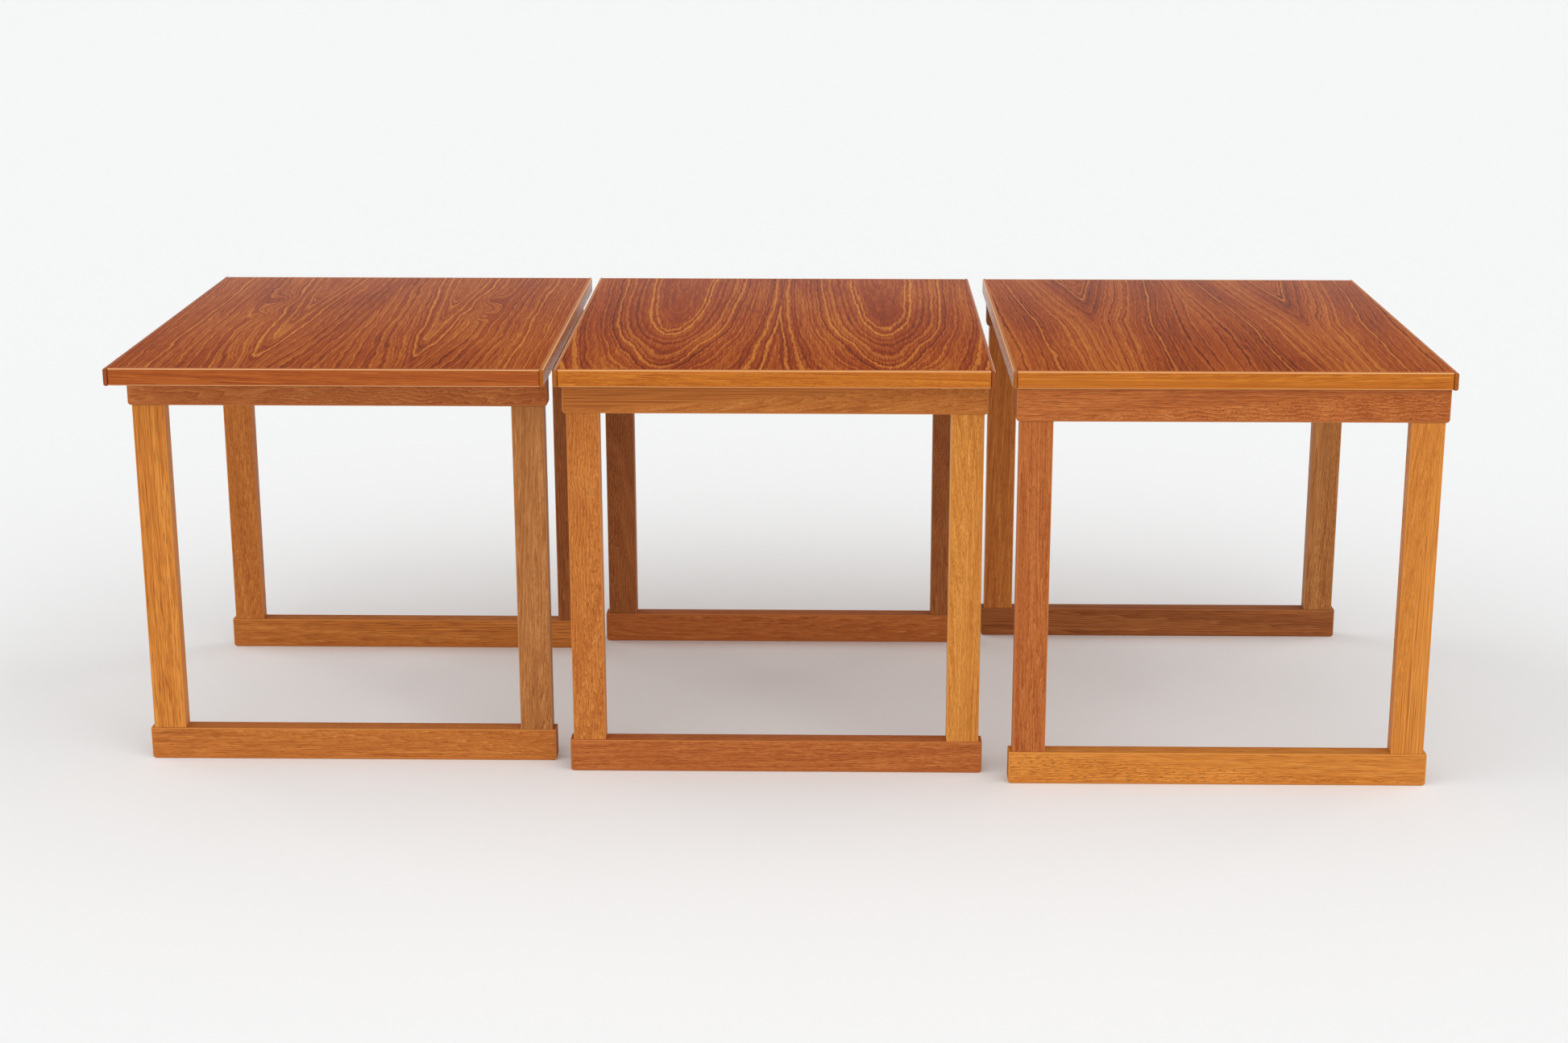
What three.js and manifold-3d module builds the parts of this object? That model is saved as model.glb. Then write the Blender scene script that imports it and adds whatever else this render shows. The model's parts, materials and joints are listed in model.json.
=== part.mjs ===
// A set of three teak nesting tables standing side by side in a row.
// Every table has the same veneered square top and the same two sled frames
// (apron, two legs, foot rail); only the inset of the frames differs, so that
// one table's frames can pass inside another's.
// Millimetres, +Z up, X along the row, -Y to the front.
// The origin is on the floor, under the middle of the row.

import * as THREE from 'three';
import { mergeVertices } from 'three/addons/utils/BufferGeometryUtils.js';
import Module from 'manifold-3d';

const wasm = await Module();
wasm.setup();

// Tops
const tableHeight = 452.5;
const topSide = 450;
const topThickness = 18.5;
const veneerThickness = 0.5;
const lippingWidth = 4;
const topArrisRadius = 2;
const topCornerRadius = 2.5;

// Frames
const railLength = 441;
const railHeight = 35.5;
const railThickness = 18;
const railArrisRadius = 1.5;
const railUpperCornerRadius = 1;
const railLowerCornerRadius = 3.5;
const legWidth = 34.5;
const legThickness = 16;
const legArrisRadius = 1.5;
const legEndInset = 3.75;

// Leg tenons, and the glue line left round them in the mortises
const tenonWidth = 24;
const tenonThickness = 8;
const tenonLength = 15;
const glueLine = 0.3;

// Screws that hold each apron to its top, sunk into the apron from below
const screwFromRailEnd = 90;
const screwHeadRadius = 4;
const screwHeadHeight = 2.2;
const screwDomeHeight = 0.8;
const screwShankRadius = 2;
const screwTipLength = 4;
const screwInTop = 12;
const screwSides = 10;
const counterboreRadius = 4.75;
const counterboreDepth = 14;
const screwHoleRadius = 2.5;

// Arcs are drawn with this many facets to a quarter turn
const arcSteps = 3;

// Points closer than this are one point, and a cutter runs past the face by this much
const weldDistance = 1e-4;
const cutterOvershoot = 1;

// The row, from left to right, with the clear gaps between neighbouring tops
const gapLeftToMiddle = 9.5;
const gapMiddleToRight = 17.5;
const rowLength = 3 * topSide + gapLeftToMiddle + gapMiddleToRight;

// Tones that solid teak takes from one board to the next, and the other stuff
const finishes = {
  honey: { color: '#c98039', roughness: 0.42 },
  gold: { color: '#ca8233', roughness: 0.4 },
  amber: { color: '#b8702f', roughness: 0.42 },
  russet: { color: '#b5622f', roughness: 0.42 },
  brown: { color: '#a9683a', roughness: 0.45 },
  umber: { color: '#93502a', roughness: 0.45 },
  faceVeneer: { color: '#a8552a', roughness: 0.35 },
  backingVeneer: { color: '#a3683f', roughness: 0.6 },
  coreBoard: { color: '#c7a77a', roughness: 0.8 },
  steel: { color: '#9a9892', roughness: 0.35, metalness: 1 },
};

// Frame inset is measured from the top's front and back edges to the rail faces
const tables = [
  {
    name: 'left_table',
    leftEdge: -rowLength / 2,
    frameInset: 54.5,
    lippings: { front: 'russet', back: 'amber', left: 'russet', right: 'amber' },
    aprons: { front: 'russet', back: 'brown' },
    footRails: { front: 'amber', back: 'amber' },
    legs: { front_left: 'honey', front_right: 'brown', back_left: 'amber', back_right: 'umber' },
  },
  {
    name: 'middle_table',
    leftEdge: -rowLength / 2 + topSide + gapLeftToMiddle,
    frameInset: 29.5,
    lippings: { front: 'amber', back: 'honey', left: 'amber', right: 'russet' },
    aprons: { front: 'amber', back: 'amber' },
    footRails: { front: 'russet', back: 'russet' },
    legs: { front_left: 'amber', front_right: 'gold', back_left: 'umber', back_right: 'umber' },
  },
  {
    name: 'right_table',
    leftEdge: rowLength / 2 - topSide,
    frameInset: 4.5,
    lippings: { front: 'amber', back: 'gold', left: 'amber', right: 'amber' },
    aprons: { front: 'russet', back: 'umber' },
    footRails: { front: 'honey', back: 'umber' },
    legs: { front_left: 'russet', front_right: 'honey', back_left: 'amber', back_right: 'brown' },
  },
];

// Heights that follow from the driving dimensions
const topUnderside = tableHeight - topThickness;
const apronUnderside = topUnderside - railHeight;
const coreSide = topSide - 2 * lippingWidth;
const coreThickness = topThickness - 2 * veneerThickness;
const legLength = apronUnderside - railHeight;
const legCentreX = railLength / 2 - legEndInset - legWidth / 2;
const screwCentreX = railLength / 2 - screwFromRailEnd;
const screwSeat = apronUnderside + counterboreDepth;

// Local axes for an outline swept along X, Y or Z: the outline's own u and v
// lie along the two axes that follow in the order X, Y, Z, X.
const axisX = new THREE.Vector3(1, 0, 0);
const axisY = new THREE.Vector3(0, 1, 0);
const axisZ = new THREE.Vector3(0, 0, 1);
const sweepFrames = {
  x: new THREE.Matrix4().makeBasis(axisY, axisZ, axisX),
  y: new THREE.Matrix4().makeBasis(axisZ, axisX, axisY),
  z: new THREE.Matrix4(),
};

function toSolid(geometry) {
  const bare = geometry.clone();
  bare.deleteAttribute('normal');
  bare.deleteAttribute('uv');
  const merged = mergeVertices(bare, weldDistance);
  return new wasm.Manifold(new wasm.Mesh({
    numProp: 3,
    vertProperties: new Float32Array(merged.attributes.position.array),
    triVerts: new Uint32Array(merged.index.array),
  }));
}

function toGeometry(solid) {
  const mesh = solid.getMesh();
  const geometry = new THREE.BufferGeometry();
  geometry.setAttribute('position', new THREE.BufferAttribute(mesh.vertProperties, 3));
  geometry.setIndex(new THREE.BufferAttribute(mesh.triVerts, 1));
  geometry.computeVertexNormals();
  return geometry;
}

// A rectangle centred on the origin, with a radius for each corner:
// low u low v, high u low v, high u high v, low u high v.
function roundedOutline(sizeU, sizeV, radii) {
  const [r00, r10, r11, r01] = radii;
  const u = sizeU / 2;
  const v = sizeV / 2;
  const outline = new THREE.Shape();
  outline.moveTo(-u + r00, -v);
  outline.lineTo(u - r10, -v);
  if (r10 > 0) outline.absarc(u - r10, -v + r10, r10, -Math.PI / 2, 0);
  outline.lineTo(u, v - r11);
  if (r11 > 0) outline.absarc(u - r11, v - r11, r11, 0, Math.PI / 2);
  outline.lineTo(-u + r01, v);
  if (r01 > 0) outline.absarc(-u + r01, v - r01, r01, Math.PI / 2, Math.PI);
  outline.lineTo(-u, -v + r00);
  if (r00 > 0) outline.absarc(-u + r00, -v + r00, r00, Math.PI, 1.5 * Math.PI);
  return outline;
}

// Sweeps an outline along an axis, centred on the origin
function sweep(axis, outline, length) {
  const geometry = new THREE.ExtrudeGeometry(outline, {
    depth: length,
    bevelEnabled: false,
    curveSegments: arcSteps,
  });
  geometry.translate(0, 0, -length / 2);
  geometry.applyMatrix4(sweepFrames[axis]);
  return toSolid(geometry);
}

function box(sizeX, sizeY, sizeZ, x = 0, y = 0, z = 0) {
  const geometry = new THREE.BoxGeometry(sizeX, sizeY, sizeZ);
  geometry.translate(x, y, z);
  return toSolid(geometry);
}

// An upright round rod or hole from one height to another
function rod(radius, x, y, fromZ, toZ) {
  const geometry = new THREE.CylinderGeometry(radius, radius, toZ - fromZ, screwSides);
  geometry.rotateX(Math.PI / 2);
  geometry.translate(x, y, (fromZ + toZ) / 2);
  return toSolid(geometry);
}

// Apron and foot rail alike: arrises along the length, and end corners that
// are rounded more at the bottom. Centred on the origin.
function railBlank() {
  const arris = railArrisRadius;
  const section = roundedOutline(railThickness, railHeight, [arris, arris, arris, arris]);
  const face = roundedOutline(railHeight, railLength, [
    railLowerCornerRadius,
    railUpperCornerRadius,
    railUpperCornerRadius,
    railLowerCornerRadius,
  ]);
  return sweep('x', section, railLength).intersect(sweep('y', face, railThickness));
}

// Two mortises, cut up into the blank from below or down from above
function withMortises(blank, side) {
  const width = tenonWidth + 2 * glueLine;
  const thickness = tenonThickness + 2 * glueLine;
  const depth = tenonLength + glueLine;
  const cutHeight = depth + cutterOvershoot;
  const centreZ = side * (railHeight / 2 + cutterOvershoot - cutHeight / 2);
  let solid = blank;
  for (const end of [-1, 1]) {
    const mortise = box(width, thickness, cutHeight, end * legCentreX, 0, centreZ);
    solid = solid.subtract(mortise);
  }
  return solid;
}

function apronSolid() {
  const bottom = -railHeight / 2;
  const seat = bottom + counterboreDepth;
  let solid = withMortises(railBlank(), -1);
  for (const end of [-1, 1]) {
    const x = end * screwCentreX;
    solid = solid.subtract(rod(counterboreRadius, x, 0, bottom - cutterOvershoot, seat));
    const holeTop = railHeight / 2 + cutterOvershoot;
    solid = solid.subtract(rod(screwHoleRadius, x, 0, seat - cutterOvershoot, holeTop));
  }
  return solid;
}

function footRailSolid() {
  return withMortises(railBlank(), 1);
}

// Leg with a stub tenon at each end, centred on the origin
function legSolid() {
  const arris = legArrisRadius;
  const section = roundedOutline(legWidth, legThickness, [arris, arris, arris, arris]);
  const tenons = box(tenonWidth, tenonThickness, legLength + 2 * tenonLength);
  return sweep('z', section, legLength).add(tenons);
}

// Lipping seen from its end: square against the core, both outer arrises
// round. High u is outwards, and v is up.
function lippingOutline(outwards) {
  const arris = topArrisRadius;
  const radii = outwards > 0 ? [0, arris, arris, 0] : [arris, 0, 0, arris];
  return roundedOutline(lippingWidth, topThickness, radii);
}

// Lippings on the front and back edges stop against the side lippings
function crossLippingSolid(outwards) {
  return sweep('x', lippingOutline(outwards), coreSide);
}

// Side lippings run the full depth, with the top's corners rounded on them
function sideLippingSolid(outwards) {
  const arris = topArrisRadius;
  const corner = topCornerRadius;
  const sectionRadii = outwards > 0 ? [0, 0, arris, arris] : [arris, arris, 0, 0];
  const section = roundedOutline(topThickness, lippingWidth, sectionRadii);
  const planRadii = outwards > 0 ? [0, corner, corner, 0] : [corner, 0, 0, corner];
  const plan = roundedOutline(lippingWidth, topSide, planRadii);
  return sweep('y', section, topSide).intersect(sweep('z', plan, topThickness));
}

// A board with a pilot hole for each of the four screws; the screws stand at
// these depths in the table's own frame.
function boardWithPilots(thickness, screwDepths, pilotTop) {
  const pilotBottom = -thickness / 2 - cutterOvershoot;
  let solid = box(coreSide, coreSide, thickness);
  for (const y of screwDepths) {
    for (const end of [-1, 1]) {
      const pilot = rod(screwHoleRadius, end * screwCentreX, y, pilotBottom, pilotTop);
      solid = solid.subtract(pilot);
    }
  }
  return solid;
}

// Dome-headed wood screw, head down, its seat at the origin
function screwGeometry() {
  const tip = topUnderside + screwInTop - screwSeat;
  const profile = [
    [0, -screwHeadHeight - screwDomeHeight],
    [screwHeadRadius * 0.6, -screwHeadHeight - screwDomeHeight * 0.6],
    [screwHeadRadius, -screwHeadHeight],
    [screwHeadRadius, -glueLine],
    [screwShankRadius, -glueLine],
    [screwShankRadius, tip - screwTipLength],
    [0, tip],
  ];
  const points = profile.map(([radius, height]) => new THREE.Vector2(radius, height));
  const geometry = new THREE.LatheGeometry(points, screwSides);
  geometry.rotateX(Math.PI / 2);
  return toGeometry(toSolid(geometry));
}

const materials = {};
for (const [name, finish] of Object.entries(finishes)) {
  materials[name] = new THREE.MeshStandardMaterial(finish);
}

function place(group, name, geometry, finish, x, y, z) {
  const mesh = new THREE.Mesh(geometry, materials[finish]);
  mesh.name = name;
  mesh.position.set(x, y, z);
  group.add(mesh);
}

const leafWidth = coreSide / 2;
const apronGeometry = toGeometry(apronSolid());
const footRailGeometry = toGeometry(footRailSolid());
const legGeometry = toGeometry(legSolid());
const screw = screwGeometry();
const leafGeometry = new THREE.BoxGeometry(leafWidth, coreSide, veneerThickness);

function buildTop(group, table, frameCentreY) {
  const screwDepths = [-frameCentreY, frameCentreY];
  const coreCentreZ = topUnderside + topThickness / 2;
  const pilotTop = topUnderside + screwInTop + glueLine - coreCentreZ;
  const core = toGeometry(boardWithPilots(coreThickness, screwDepths, pilotTop));
  const backing = toGeometry(boardWithPilots(veneerThickness, screwDepths, veneerThickness));
  const backingZ = topUnderside + veneerThickness / 2;
  const faceZ = tableHeight - veneerThickness / 2;
  place(group, `${table.name}_top_core`, core, 'coreBoard', 0, 0, coreCentreZ);
  place(group, `${table.name}_backing_veneer`, backing, 'backingVeneer', 0, 0, backingZ);
  for (const [side, sign] of [['left', -1], ['right', 1]]) {
    const leafName = `${table.name}_${side}_veneer_leaf`;
    place(group, leafName, leafGeometry, 'faceVeneer', sign * leafWidth / 2, 0, faceZ);
  }

  const lippingCentre = topSide / 2 - lippingWidth / 2;
  for (const [side, sign] of [['front', -1], ['back', 1]]) {
    const geometry = toGeometry(crossLippingSolid(sign));
    const name = `${table.name}_${side}_lipping`;
    place(group, name, geometry, table.lippings[side], 0, sign * lippingCentre, coreCentreZ);
  }
  for (const [side, sign] of [['left', -1], ['right', 1]]) {
    const geometry = toGeometry(sideLippingSolid(sign));
    const name = `${table.name}_${side}_lipping`;
    place(group, name, geometry, table.lippings[side], sign * lippingCentre, 0, coreCentreZ);
  }
}

function buildFrame(group, table, side, centreY) {
  const railZ = railHeight / 2;
  const name = `${table.name}_${side}`;
  const apronZ = apronUnderside + railZ;
  place(group, `${name}_apron`, apronGeometry, table.aprons[side], 0, centreY, apronZ);
  place(group, `${name}_foot_rail`, footRailGeometry, table.footRails[side], 0, centreY, railZ);
  for (const [end, sign] of [['left', -1], ['right', 1]]) {
    const legFinish = table.legs[`${side}_${end}`];
    const legZ = railHeight + legLength / 2;
    place(group, `${name}_${end}_leg`, legGeometry, legFinish, sign * legCentreX, centreY, legZ);
    place(group, `${name}_${end}_screw`, screw, 'steel', sign * screwCentreX, centreY, screwSeat);
  }
}

const row = new THREE.Group();
for (const table of tables) {
  const frameCentreY = topSide / 2 - table.frameInset - railThickness / 2;
  const group = new THREE.Group();
  group.position.x = table.leftEdge + topSide / 2;
  buildTop(group, table, frameCentreY);
  buildFrame(group, table, 'front', -frameCentreY);
  buildFrame(group, table, 'back', frameCentreY);
  row.add(group);
}

export default row;
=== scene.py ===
import json
import math

import bpy
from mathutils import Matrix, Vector


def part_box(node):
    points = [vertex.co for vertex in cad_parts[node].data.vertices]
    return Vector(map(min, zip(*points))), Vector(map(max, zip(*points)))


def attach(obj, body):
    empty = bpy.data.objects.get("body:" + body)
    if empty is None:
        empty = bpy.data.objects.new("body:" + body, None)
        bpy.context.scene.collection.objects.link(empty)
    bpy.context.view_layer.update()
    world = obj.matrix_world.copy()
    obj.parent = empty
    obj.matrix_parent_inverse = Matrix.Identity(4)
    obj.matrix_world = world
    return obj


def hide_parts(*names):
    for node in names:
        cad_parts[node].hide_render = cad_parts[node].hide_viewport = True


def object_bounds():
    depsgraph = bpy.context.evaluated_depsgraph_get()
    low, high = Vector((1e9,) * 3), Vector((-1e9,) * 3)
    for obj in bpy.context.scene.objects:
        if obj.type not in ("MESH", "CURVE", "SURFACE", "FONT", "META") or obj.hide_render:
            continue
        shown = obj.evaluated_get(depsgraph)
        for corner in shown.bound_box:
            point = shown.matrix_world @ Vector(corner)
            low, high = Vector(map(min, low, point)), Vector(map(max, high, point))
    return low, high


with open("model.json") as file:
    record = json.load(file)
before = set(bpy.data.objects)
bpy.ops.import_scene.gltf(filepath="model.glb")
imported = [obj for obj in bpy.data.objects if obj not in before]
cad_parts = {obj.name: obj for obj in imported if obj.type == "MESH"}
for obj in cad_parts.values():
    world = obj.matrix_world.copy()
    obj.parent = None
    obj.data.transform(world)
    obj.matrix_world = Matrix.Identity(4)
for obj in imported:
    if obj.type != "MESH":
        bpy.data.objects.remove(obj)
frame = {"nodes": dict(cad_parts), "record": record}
cadLow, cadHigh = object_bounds()
mm = 0.001  # metres in a millimetre
tables = ["left_table", "middle_table", "right_table"]
slotOf = {part["node"]: part["material_slot"] for part in frame["record"]["subparts"]}


def linear(hexColour):
    # sRGB hex to the linear numbers that Blender's sockets want
    channels = [int(hexColour[i:i + 2], 16) / 255 for i in (1, 3, 5)]
    return [c / 12.92 if c <= 0.04045 else ((c + 0.055) / 1.055) ** 2.4 for c in channels] + [1]


def addNode(tree, kind, inputs=(), **settings):
    # inputs: a list for the first sockets, or socket name or number -> a value, a node or its output
    node = tree.nodes.new(kind)
    for name, value in settings.items():
        setattr(node, name, value)
    for name, value in (inputs.items() if isinstance(inputs, dict) else enumerate(inputs)):
        if isinstance(value, bpy.types.Node):
            value = value.outputs[0]
        if isinstance(value, bpy.types.NodeSocket):
            tree.links.new(value, node.inputs[name])
        else:
            node.inputs[name].default_value = value
    return node


def setStops(ramp, stops):
    # stops: (place, colour) in order; a single number stands for a grey
    stops = [(place, colour if isinstance(colour, list) else [colour] * 3 + [1]) for place, colour in stops]
    elements = ramp.color_ramp.elements
    elements[0].position, elements[0].color = stops[0]
    elements[1].position, elements[1].color = stops[-1]
    for place, colour in stops[1:-1]:
        elements.new(place).color = colour


def newTree(name, sockets):
    # a geometry tree with named inputs: name -> (socket kind, default)
    tree = bpy.data.node_groups.new(name, "GeometryNodeTree")
    tree.interface.new_socket("Geometry", in_out="INPUT", socket_type="NodeSocketGeometry")
    for label, (kind, default) in sockets.items():
        socket = tree.interface.new_socket(label, in_out="INPUT", socket_type=kind)
        if default is not None:
            socket.default_value = default
    tree.interface.new_socket("Geometry", in_out="OUTPUT", socket_type="NodeSocketGeometry")
    return tree


def runTree(name, tree, values, starts=None):
    # hangs the tree on a scratch object, sets its inputs, and keeps the result as a plain mesh
    scratch = bpy.data.objects.new(name + "_scratch", bpy.data.meshes.new(name + "_scratch"))
    if starts:
        scratch.data.from_pydata(starts, [], [])
    bpy.context.scene.collection.objects.link(scratch)
    modifier = scratch.modifiers.new("nodes", "NODES")
    modifier.node_group = tree
    identifiers = {s.name: s.identifier for s in tree.interface.items_tree if s.in_out == "INPUT"}
    for label, value in values.items():
        modifier[identifiers[label]] = value
    depsgraph = bpy.context.evaluated_depsgraph_get()
    mesh = bpy.data.meshes.new_from_object(scratch.evaluated_get(depsgraph), depsgraph=depsgraph)
    mesh.name = name
    bpy.data.objects.remove(scratch)
    piece = bpy.data.objects.new(name, mesh)
    bpy.context.scene.collection.objects.link(piece)
    return piece


# every rail, leg, lipping and veneer leaf is one rounded plate
plate = {
    "cornerPoints": 6,  # points round each corner of the outline
    "arrisSteps": 4,  # facets across a rounded arris
    "weld": 0.002 * mm,
    "sharpAngle": 35.0,  # facets that meet more steeply than this keep a crisp edge
    "faceWeight": 100,  # how much the big faces count in the arrises' shading
    "slopeReach": 0.012,  # most a board's grain runs out across its width, per mm of length
    "pithLowest": 20.0,  # degrees; direction of the log's pith from the board
    "pithTurn": 55.0,  # degrees; how far that varies from board to board
    "logStart": 3000.0,  # mm; each board has its own place along the log
    "logReach": 4000.0,
    "endFacing": 0.8,  # a face that looks along the grain this closely is end grain
}
# in the aprons' undersides, in mm
counterbore = {"radius": 4.75, "depth": 14.0, "holeRadius": 2.5, "holeDepth": 37.0, "sides": 32}


def boardTree():
    tree = newTree("boardTree", {
        "Low corner": ("NodeSocketVector", None),
        "High corner": ("NodeSocketVector", None),
        "Lies flat": ("NodeSocketBool", False),
        "Grain axis": ("NodeSocketVector", None),
        "Low side corners": ("NodeSocketFloat", 0.0),
        "High side corners": ("NodeSocketFloat", 0.0),
        "Arris radius": ("NodeSocketFloat", 0.001),
        "Left arris": ("NodeSocketFloat", 1.0),
        "Right arris": ("NodeSocketFloat", 1.0),
        "Low arris": ("NodeSocketFloat", 1.0),
        "High arris": ("NodeSocketFloat", 1.0),
        "Drilled": ("NodeSocketBool", False),
        "Screw reach": ("NodeSocketFloat", 0.1),
        "Pith distance": ("NodeSocketFloat", 120.0),
        "Seed": ("NodeSocketInt", 0),
        "Finish": ("NodeSocketMaterial", None),
    })
    given = addNode(tree, "NodeGroupInput").outputs
    points, steps = plate["cornerPoints"], plate["arrisSteps"]
    ringCount = 2 * steps + 1
    barrel = addNode(tree, "GeometryNodeMeshCylinder", {
        "Vertices": 4 * points, "Side Segments": ringCount, "Fill Segments": 1, "Radius": 1.0, "Depth": 2.0,
    }, fill_type="NGON")
    at = addNode(tree, "ShaderNodeSeparateXYZ", [addNode(tree, "GeometryNodeInputPosition")]).outputs

    # where each point stands: its corner, and its turn round that corner
    bearing = addNode(tree, "ShaderNodeMath", [at[1], at[0]], operation="ARCTAN2")
    turn = addNode(tree, "ShaderNodeMath", [bearing, 2 * points / math.pi], operation="MULTIPLY")
    count = addNode(tree, "ShaderNodeMath", [turn], operation="ROUND")
    around = addNode(tree, "ShaderNodeMath", [count, 4 * points], operation="FLOORED_MODULO")
    quarters = addNode(tree, "ShaderNodeMath", [around, points], operation="DIVIDE")
    corner = addNode(tree, "ShaderNodeMath", [quarters], operation="FLOOR")
    past = addNode(tree, "ShaderNodeMath", [around, points], operation="FLOORED_MODULO")
    share = addNode(tree, "ShaderNodeMath", [past, points - 1], operation="DIVIDE")
    swept = addNode(tree, "ShaderNodeMath", [corner, share], operation="ADD")
    angle = addNode(tree, "ShaderNodeMath", [swept, math.pi / 2], operation="MULTIPLY")
    halfway = addNode(tree, "ShaderNodeMath", [corner, 0.5], operation="ADD")
    facing = addNode(tree, "ShaderNodeMath", [halfway, math.pi / 2], operation="MULTIPLY")
    facings = [addNode(tree, "ShaderNodeMath", [facing], operation=wave) for wave in ("COSINE", "SINE")]
    signU, signV = [addNode(tree, "ShaderNodeMath", [way], operation="SIGN") for way in facings]
    right = addNode(tree, "ShaderNodeMath", [signU, 0.0], operation="GREATER_THAN")
    high = addNode(tree, "ShaderNodeMath", [signV, 0.0], operation="GREATER_THAN")

    # and its ring up the edge, with how far that ring has turned over the arris
    raised = addNode(tree, "ShaderNodeMath", [at[2], 1.0], operation="ADD")
    level = addNode(tree, "ShaderNodeMath", [raised, ringCount / 2], operation="MULTIPLY")
    ring = addNode(tree, "ShaderNodeMath", [level], operation="ROUND")
    upper = addNode(tree, "ShaderNodeMath", [ring, steps + 0.5], operation="GREATER_THAN")
    below = addNode(tree, "ShaderNodeMath", [ringCount, ring], operation="SUBTRACT")
    step = addNode(tree, "ShaderNodeMath", [ring, below], operation="MINIMUM")
    sweep = addNode(tree, "ShaderNodeMath", [step, math.pi / 2 / steps], operation="MULTIPLY")
    waves = [addNode(tree, "ShaderNodeMath", [sweep], operation=wave) for wave in ("SINE", "COSINE")]
    cuts = [addNode(tree, "ShaderNodeMath", [1.0, wave], operation="SUBTRACT") for wave in waves]
    inset, rise = [addNode(tree, "ShaderNodeMath", [given["Arris radius"], cut], operation="MULTIPLY")
                   for cut in cuts]

    # the plate's own directions: u along the outline's width, v up it, w through the thickness
    flat, corners = given["Lies flat"], [given["High corner"], given["Low corner"]]
    size = addNode(tree, "ShaderNodeVectorMath", corners, operation="SUBTRACT")
    total = addNode(tree, "ShaderNodeVectorMath", corners, operation="ADD")
    centre = addNode(tree, "ShaderNodeVectorMath", {0: total, "Scale": 0.5}, operation="SCALE")
    span = addNode(tree, "ShaderNodeSeparateXYZ", [size]).outputs
    sizeV = addNode(tree, "GeometryNodeSwitch", [flat, span[2], span[1]], input_type="FLOAT")
    sizeW = addNode(tree, "GeometryNodeSwitch", [flat, span[1], span[2]], input_type="FLOAT")
    cornerRadius = addNode(tree, "GeometryNodeSwitch", [
        high, given["Low side corners"], given["High side corners"]], input_type="FLOAT")
    arrisU = addNode(tree, "GeometryNodeSwitch", [right, given["Left arris"], given["Right arris"]],
                     input_type="FLOAT")
    arrisV = addNode(tree, "GeometryNodeSwitch", [high, given["Low arris"], given["High arris"]],
                     input_type="FLOAT")
    insetU = addNode(tree, "ShaderNodeMath", [inset, arrisU], operation="MULTIPLY")
    insetV = addNode(tree, "ShaderNodeMath", [inset, arrisV], operation="MULTIPLY")
    shrunk = addNode(tree, "ShaderNodeMath", [cornerRadius, inset], operation="SUBTRACT")
    arc = addNode(tree, "ShaderNodeMath", [shrunk, 0.0], operation="MAXIMUM")

    def outline(whole, sign, sideInset, wave):
        # from the middle out to the corner's centre, then round the corner
        half = addNode(tree, "ShaderNodeMath", [whole, 0.5], operation="MULTIPLY")
        kept = addNode(tree, "ShaderNodeMath", [cornerRadius, sideInset], operation="MAXIMUM")
        reach = addNode(tree, "ShaderNodeMath", [half, kept], operation="SUBTRACT")
        turned = addNode(tree, "ShaderNodeMath", [angle], operation=wave)
        bulge = addNode(tree, "ShaderNodeMath", [arc, turned], operation="MULTIPLY")
        return addNode(tree, "ShaderNodeMath", [reach, sign, bulge], operation="MULTIPLY_ADD")

    u = outline(span[0], signU, insetU, "COSINE")
    v = outline(sizeV, signV, insetV, "SINE")
    halfW = addNode(tree, "ShaderNodeMath", [sizeW, 0.5], operation="MULTIPLY")
    height = addNode(tree, "ShaderNodeMath", [halfW, rise], operation="SUBTRACT")
    signW = addNode(tree, "ShaderNodeMath", [upper, 2.0, -1.0], operation="MULTIPLY_ADD")
    w = addNode(tree, "ShaderNodeMath", [height, signW], operation="MULTIPLY")
    minusW = addNode(tree, "ShaderNodeMath", [w, -1.0], operation="MULTIPLY")
    lying = addNode(tree, "ShaderNodeCombineXYZ", [u, v, w])
    standing = addNode(tree, "ShaderNodeCombineXYZ", [u, minusW, v])
    local = addNode(tree, "GeometryNodeSwitch", [flat, standing, lying], input_type="VECTOR")
    place = addNode(tree, "ShaderNodeVectorMath", [local, centre], operation="ADD")
    shaped = addNode(tree, "GeometryNodeSetPosition", {"Geometry": barrel, "Position": place})
    welded = addNode(tree, "GeometryNodeMergeByDistance", {"Geometry": shaped, "Distance": plate["weld"]})

    # an apron is counterbored from below and drilled through for its two screws
    foot = addNode(tree, "ShaderNodeSeparateXYZ", [given["Low corner"]]).outputs[2]
    centreAt = addNode(tree, "ShaderNodeSeparateXYZ", [centre]).outputs
    firstX = addNode(tree, "ShaderNodeMath", [centreAt[0], given["Screw reach"]], operation="SUBTRACT")
    apart = addNode(tree, "ShaderNodeMath", [given["Screw reach"], 2.0], operation="MULTIPLY")
    toSecond = addNode(tree, "ShaderNodeCombineXYZ", [apart, 0.0, 0.0])
    start = addNode(tree, "ShaderNodeCombineXYZ", [firstX, centreAt[1], foot])
    places = addNode(tree, "GeometryNodeMeshLine", {"Count": 2, "Start Location": start, "Offset": toSecond})
    drills = []
    for radius, depth in ((counterbore["radius"], counterbore["depth"]),
                          (counterbore["holeRadius"], counterbore["holeDepth"])):
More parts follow.
